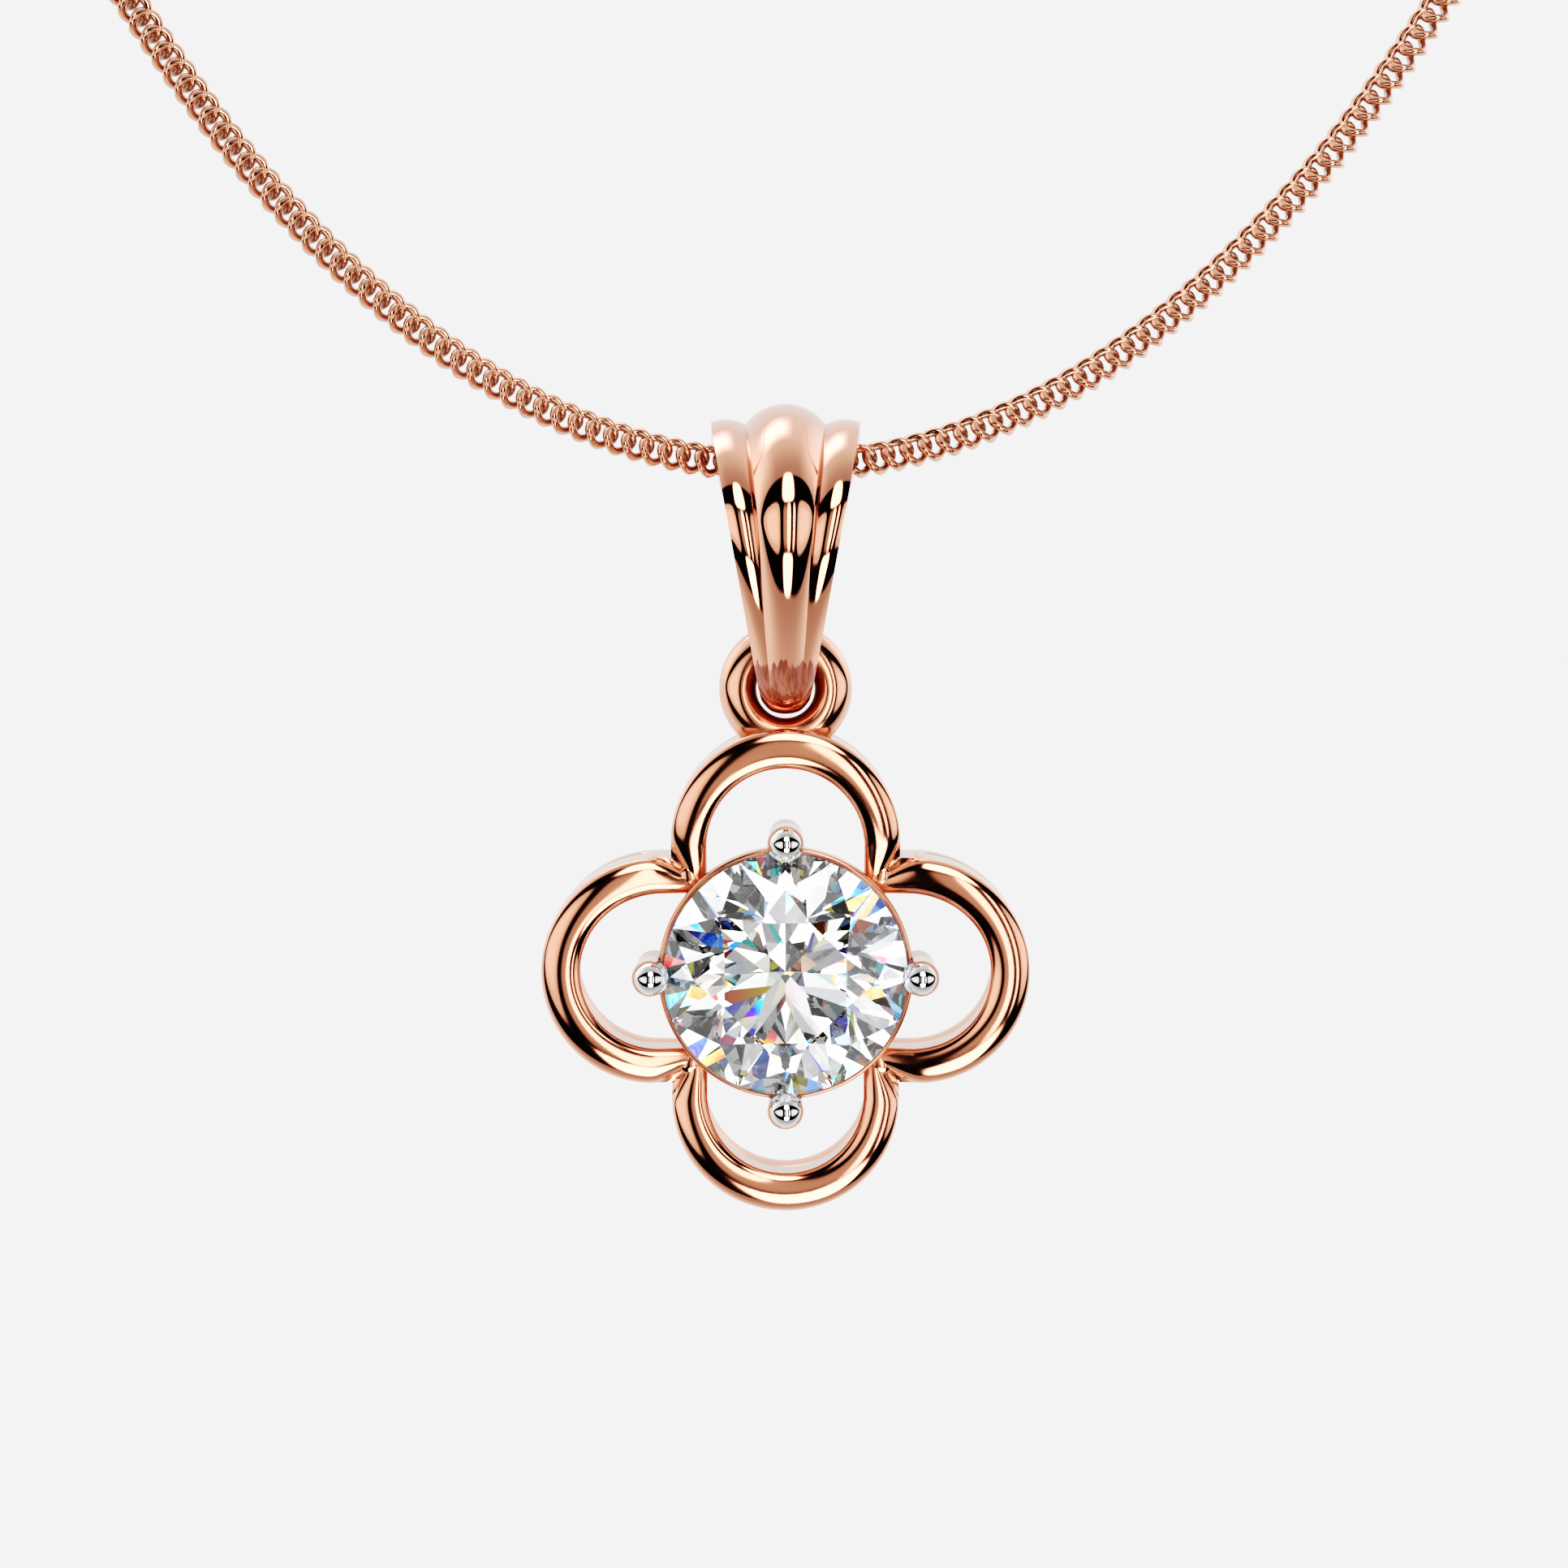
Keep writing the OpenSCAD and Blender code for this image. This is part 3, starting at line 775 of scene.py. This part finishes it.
class PENDANT_OT_chain(bpy.types.Operator):
    """Link the curb chain along its route, from the bail back to the clasp on each side"""
    bl_idname = "pendant.chain"
    bl_label = "Chain"

    def execute(self, context):
        size = context.scene.pendant_chain
        # A fine link for those that the camera sees, and a coarse one for the rest
        meshes = []
        for around, sides in ((28, 10), (12, 6)):
            bm = curb_link(size, around, sides)
            mesh = bpy.data.meshes.new("link")
            bm.to_mesh(mesh)
            bm.free()
            meshes.append(mesh)
        lowest = Matrix.Translation(SWAG / MM)
        for name, side in (("left", -1), ("right", 1)):
            bm = bmesh.new()
            for number, (place, ahead, upper) in enumerate(link_places(mm(size.pitch))):
                # Only one of the halves has the lowest link
                if number == 0 and side == -1:
                    continue
                turn = Matrix((ahead, upper.cross(ahead), upper)).transposed().to_4x4()
                if side == -1:
                    mirror = Matrix.Diagonal((-1, 1, 1, 1))
                    turn = mirror @ turn @ mirror
                    place = Vector((-place.x, place.y, place.z))
                start = len(bm.verts)
                bm.from_mesh(meshes[0 if number < size.near else 1])
                bm.verts.ensure_lookup_table()
                bmesh.ops.transform(bm, matrix=lowest @ Matrix.Translation(place) @ turn,
                                    verts=bm.verts[start:])
            make_piece(bm, f"curb_links_{name}", AT_CLASP, "necklace", "chain_rose_gold", chain_gold(),
                       f"chain_{name}", crease=60)
        for mesh in meshes:
            bpy.data.meshes.remove(mesh)
        return {"FINISHED"}


class PENDANT_OT_clasp(bpy.types.Operator):
    """Build the plain ring clasp with its two eyelets"""
    bl_idname = "pendant.clasp"
    bl_label = "Clasp"

    def execute(self, context):
        ring_r, wire, eyelet_r, eyelet_wire, lap = 1.9, 0.9, 0.42, 0.26, 0.08
        bm = torus(ring_r, wire, 64, 20)
        bmesh.ops.rotate(bm, matrix=Matrix.Rotation(math.pi / 2, 3, "X"), verts=bm.verts)
        for side in (-1, 1):
            place = Matrix.Translation((side * (ring_r + wire / 2 + eyelet_r - lap), 0, 0))
            add_part(bm, torus(eyelet_r, eyelet_wire, 32, 12), place)
        # The small lever that a fingernail pulls
        tilt, lever, lever_top = Matrix.Rotation(math.radians(35), 4, "Y"), 0.5, ring_r + 0.78
        add_part(bm, rod((0, 0, ring_r), (0, 0, lever_top), lever), tilt)
        add_part(bm, ball(lever, (1, 1, 0.3)), tilt @ Matrix.Translation((0, 0, lever_top)))
        make_piece(bm, "ring_clasp", AT_CLASP, "necklace", "polished_rose_gold", rose_gold(), "clasp")
        return {"FINISHED"}


# The studio

# The soft boxes, by degrees from the camera: middle and half width across, middle and half height up,
# brightness, and the share of the box over which its edge fades
SOFT_BOXES = [
    (0, 19, 37.5, 15, 3.6, 0.3),  # over the camera
    (0, 18, -35.5, 13, 3.6, 0.3),  # under it
    (-51.5, 27, -1, 26.5, 1.0, 0.25),  # on the left, and on the right
    (53, 25.5, -1, 26.5, 1.0, 0.25),
    (-48, 18, -1, 18, 1.5, 0.9),  # the brighter middle of each of these two
    (50, 18, -1, 18, 1.5, 0.9),
    (-8.5, 7, 0, 19, 0.62, 0.9),  # a faint light and two strips beside the camera
    (2, 5.6, 0, 21, 3.0, 0.4),
    (17.7, 3.4, 0, 21, 2.4, 0.4)]
# The picture's tones: brightness in the scene and on the page
TONES = [(0.0, 0.0), (0.0625, 0.0102), (0.125, 0.054), (0.25, 0.2), (0.5, 0.49), (1.0, 0.79), (1.5, 0.965),
         (2.0, 1.0)]
TONE_END = 2.5
# Brightness of the dark opening, of the lamp overhead, and of the paper, which the tones then bring to
# its own colour
DARK, LAMP, PAPER_LIGHT = 0.012, 3.4, 1.42


def studio_light(world, paper):
    """A pale tent round the pendant, with a dark opening on the camera's side and soft boxes in it.
    Everything is worked out from the direction of the light, so it is plain for any view."""
    tree = world.node_tree
    tree.nodes.clear()

    def sum_of(operation, *values):
        """One step of arithmetic on the given values."""
        return add(tree, "ShaderNodeMath", {"operation": operation}, dict(enumerate(values)))

    def ramp(value, start, end, low=0.0, high=1.0):
        """A soft change from low to high as the value goes from start to end."""
        return add(tree, "ShaderNodeMapRange", {"interpolation_type": "SMOOTHSTEP"}, {
            "Value": value, "From Min": start, "From Max": end, "To Min": low, "To Max": high})

    def blend(share, low, high):
        """The value a share of the way from low to high."""
        return add(tree, "ShaderNodeMix", {"data_type": "FLOAT"}, {0: share, 2: low, 3: high})

    # The opening and its boxes stand a little to the right of the camera
    place = add(tree, "ShaderNodeTexCoord", {}, {})
    turned = add(tree, "ShaderNodeMapping", {}, {
        "Vector": place.outputs["Generated"], "Rotation": (0, 0, math.radians(-8.5))})
    way = add(tree, "ShaderNodeSeparateXYZ", {}, {"Vector": turned})
    ahead = sum_of("MULTIPLY", way.outputs["Y"], -1.0)
    aside = sum_of("ABSOLUTE", way.outputs["X"])

    def room(spread, stone):
        """Brightness of the tent by direction, with its angles spread a little for the stone's colours."""
        # Angles in degrees: across from the camera to the right, and up from it over the top
        across, up = (sum_of("MULTIPLY", sum_of("ARCTAN2", way.outputs[axis], ahead), math.degrees(spread))
                      for axis in "XZ")
        # The opening reaches 50 degrees up, and down by 46 degrees in its middle and more at its sides
        below = sum_of("LESS_THAN", way.outputs["Z"], 0.0)
        floorward = sum_of("MULTIPLY", below, sum_of("MULTIPLY_ADD", aside, 0.4, -0.17))
        edge = sum_of("MULTIPLY", ahead, sum_of("ADD", floorward, 1.2 / spread))
        inside = sum_of("SUBTRACT", edge, sum_of("ABSOLUTE", way.outputs["Z"]))
        # The tent is dim next to the opening and bright behind the pendant. Its sides are brighter, more
        # so higher up, and a lamp hangs over the back of the pendant
        beside = ramp(aside, 0.4, 0.85, 1.0, ramp(way.outputs["Z"], -0.1, 0.4, 1.1, 1.6))
        light = sum_of("MULTIPLY", ramp(sum_of("ABSOLUTE", up), 48, 105, 0.5, 1.05), beside)
        overhead = sum_of("MULTIPLY", ramp(up, 90, 108), ramp(up, 110, 132, 1.0, 0.0))
        left = sum_of("ABSOLUTE", sum_of("ADD", way.outputs["X"], 0.24))
        light = blend(sum_of("MULTIPLY", overhead, ramp(left, 0.15, 0.5, 1.0, 0.0)), light, LAMP)
        light = blend(ramp(inside, -0.03, 0.05), light, DARK)
        for middle, half, level, half_height, power, fade in SOFT_BOXES:
            # A power of 3.6 gives each box round corners
            off = []
            for value, at, size in ((across, middle, half), (up, level, half_height)):
                share = sum_of("DIVIDE", sum_of("SUBTRACT", value, at), size)
                off.append(sum_of("POWER", sum_of("ABSOLUTE", share), 3.6))
            light = blend(ramp(sum_of("ADD", *off), 1 - fade, 1 + fade, 1.0, 0.0), light, power)
        if not stone:
            return light
        # The stone sees the same room with dark flags hung in it, and the viewer's own dark shape
        strong = sum_of("MINIMUM", sum_of("MULTIPLY_ADD", sum_of("POWER", light, 1.7), 4.2, 0.05), 2.2)
        flags = sum_of("MULTIPLY", sum_of("SINE", sum_of("MULTIPLY", across, math.pi / 30)),
                       sum_of("SINE", sum_of("MULTIPLY", up, math.pi / 30)))
        strong = sum_of("MULTIPLY", strong, ramp(flags, -0.2, -0.04, 0.09, 1.0))
        return sum_of("MULTIPLY", strong, ramp(ahead, 0.96, 0.995, 1.0, 0.35))

    # Diamond spreads white light into its colours by a few degrees, and so do the edges that it sees
    fire = add(tree, "ShaderNodeCombineColor", {}, {
        "Red": room(0.975, True), "Green": room(1.0, True), "Blue": room(1.025, True)})
    grey = add(tree, "ShaderNodeBackground", {}, {"Color": (1, 1, 1, 1), "Strength": room(1.0, False)})
    flash = add(tree, "ShaderNodeBackground", {}, {"Color": fire, "Strength": 1.0})
    seen = add(tree, "ShaderNodeBackground", {}, {
        "Color": (*paper, 1), "Strength": PAPER_LIGHT})
    ray = add(tree, "ShaderNodeLightPath", {}, {})
    lit = add(tree, "ShaderNodeMixShader", {}, {0: ray.outputs["Is Transmission Ray"], 1: grey, 2: flash})
    both = add(tree, "ShaderNodeMixShader", {}, {0: ray.outputs["Is Camera Ray"], 1: lit, 2: seen})
    add(tree, "ShaderNodeOutputWorld", {}, {"Surface": both})


def contrast(view):
    """Sets the picture's tones: deep shadows and a soft shoulder."""
    view.view_transform = "Standard"
    view.use_curve_mapping = True
    view.curve_mapping.white_level = (TONE_END,) * 3
    curve = view.curve_mapping.curves[3]
    curve.points[0].location, curve.points[1].location = (0, 0), (1, 1)
    for scene_tone, page_tone in TONES[1:]:
        curve.points.new(scene_tone / TONE_END, page_tone)
    view.curve_mapping.update()


def pale_card():
    """Matt white card: pale and even, with the faint mottle of its pulp."""
    material = new_material("matt_card")
    tree = material.node_tree
    place = add(tree, "ShaderNodeTexCoord", {}, {})
    # Drawn 25 mm across, as the real fibres are too fine to show
    pulp = add(tree, "ShaderNodeTexNoise", {}, {
        "Vector": place.outputs["Object"], "Scale": 1 / (25 * MM), "Detail": 4.0})
    tone = add(tree, "ShaderNodeValToRGB", {}, {0: pulp})
    tone.color_ramp.elements[0].color = (*linear("#F0F0EF"), 1)
    tone.color_ramp.elements[1].color = (*linear("#F6F6F5"), 1)
    card = add(tree, "ShaderNodeBsdfPrincipled", {}, {
        "Base Color": tone.outputs["Color"], "Roughness": 0.9, "Specular IOR Level": 0.2})
    add(tree, "ShaderNodeOutputMaterial", {}, {"Surface": card})
    return material


class PENDANT_OT_stage(bpy.types.Operator):
    """Set the camera, the soft studio light and the pale floor"""
    bl_idname = "pendant.stage"
    bl_label = "Stage"

    def execute(self, context):
        scene = context.scene
        camera = bpy.data.objects.new("camera", bpy.data.cameras.new("camera"))
        scene.collection.objects.link(camera)
        camera.data.lens, camera.data.sensor_width = 50, 36
        camera.data.clip_start, camera.data.clip_end = 1 * MM, 10
        # 2 mm below the chain's lowest point and 57 mm in front of it, looking 6 degrees down
        camera.location = SWAG + Vector((-0.04, -57.3, -2.123)) * MM
        camera.rotation_euler = (math.radians(90 - 6.17), 0, 0)
        scene.camera = camera
        world = bpy.data.worlds.new("studio")
        world.use_nodes = True
        scene.world = world
        studio_light(world, scene.pendant_finish.paper)
        bm, radius, drop = bmesh.new(), 0.2, 0.15
        bmesh.ops.create_circle(bm, cap_ends=True, segments=128, radius=radius)
        bmesh.ops.translate(bm, vec=(SWAG.x, SWAG.y, CAD_BOX[0][2] - drop), verts=bm.verts)
        mesh = bpy.data.meshes.new("floor")
        bm.to_mesh(mesh)
        bm.free()
        mesh.materials.append(pale_card())
        floor = bpy.data.objects.new("floor", mesh)
        scene.collection.objects.link(floor)
        floor.visible_glossy = floor.visible_transmission = False
        contrast(scene.view_settings)
        scene.cycles.max_bounces, scene.cycles.transmission_bounces, scene.cycles.glossy_bounces = 32, 32, 12
        return {"FINISHED"}


class PENDANT_PT_panel(bpy.types.Panel):
    """The pendant's pieces and their sizes"""
    bl_label = "Clover Pendant"
    bl_space_type = "VIEW_3D"
    bl_region_type = "UI"
    bl_category = "Pendant"

    def draw(self, context):
        for operator in OPERATORS:
            self.layout.operator(operator.bl_idname)
        for name, group in GROUPS.items():
            box = self.layout.box()
            box.label(text=name.removeprefix("pendant_").title())
            for key in group.__annotations__:
                box.prop(getattr(context.scene, name), key)


OPERATORS = [PENDANT_OT_stage, PENDANT_OT_chain, PENDANT_OT_clasp, PENDANT_OT_bail, PENDANT_OT_clover,
             PENDANT_OT_prongs, PENDANT_OT_diamond]
GROUPS = {"pendant_stone": PENDANT_PG_stone, "pendant_clover": PENDANT_PG_clover,
          "pendant_bail": PENDANT_PG_bail, "pendant_chain": PENDANT_PG_chain,
          "pendant_finish": PENDANT_PG_finish}


def register():
    for item in [*GROUPS.values(), *OPERATORS, PENDANT_PT_panel]:
        bpy.utils.register_class(item)
    for name, group in GROUPS.items():
        setattr(bpy.types.Scene, name, PointerProperty(type=group))


def unregister():
    for name in GROUPS:
        delattr(bpy.types.Scene, name)
    for item in [PENDANT_PT_panel, *reversed(OPERATORS), *GROUPS.values()]:
        bpy.utils.unregister_class(item)


def main():
    register()
    bpy.ops.pendant.stage()
    bpy.ops.pendant.chain()
    bpy.ops.pendant.clasp()
    bpy.ops.pendant.bail()
    bpy.ops.pendant.clover()
    bpy.ops.pendant.prongs()
    bpy.ops.pendant.diamond()
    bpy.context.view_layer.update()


if __name__ == "__main__":
    main()
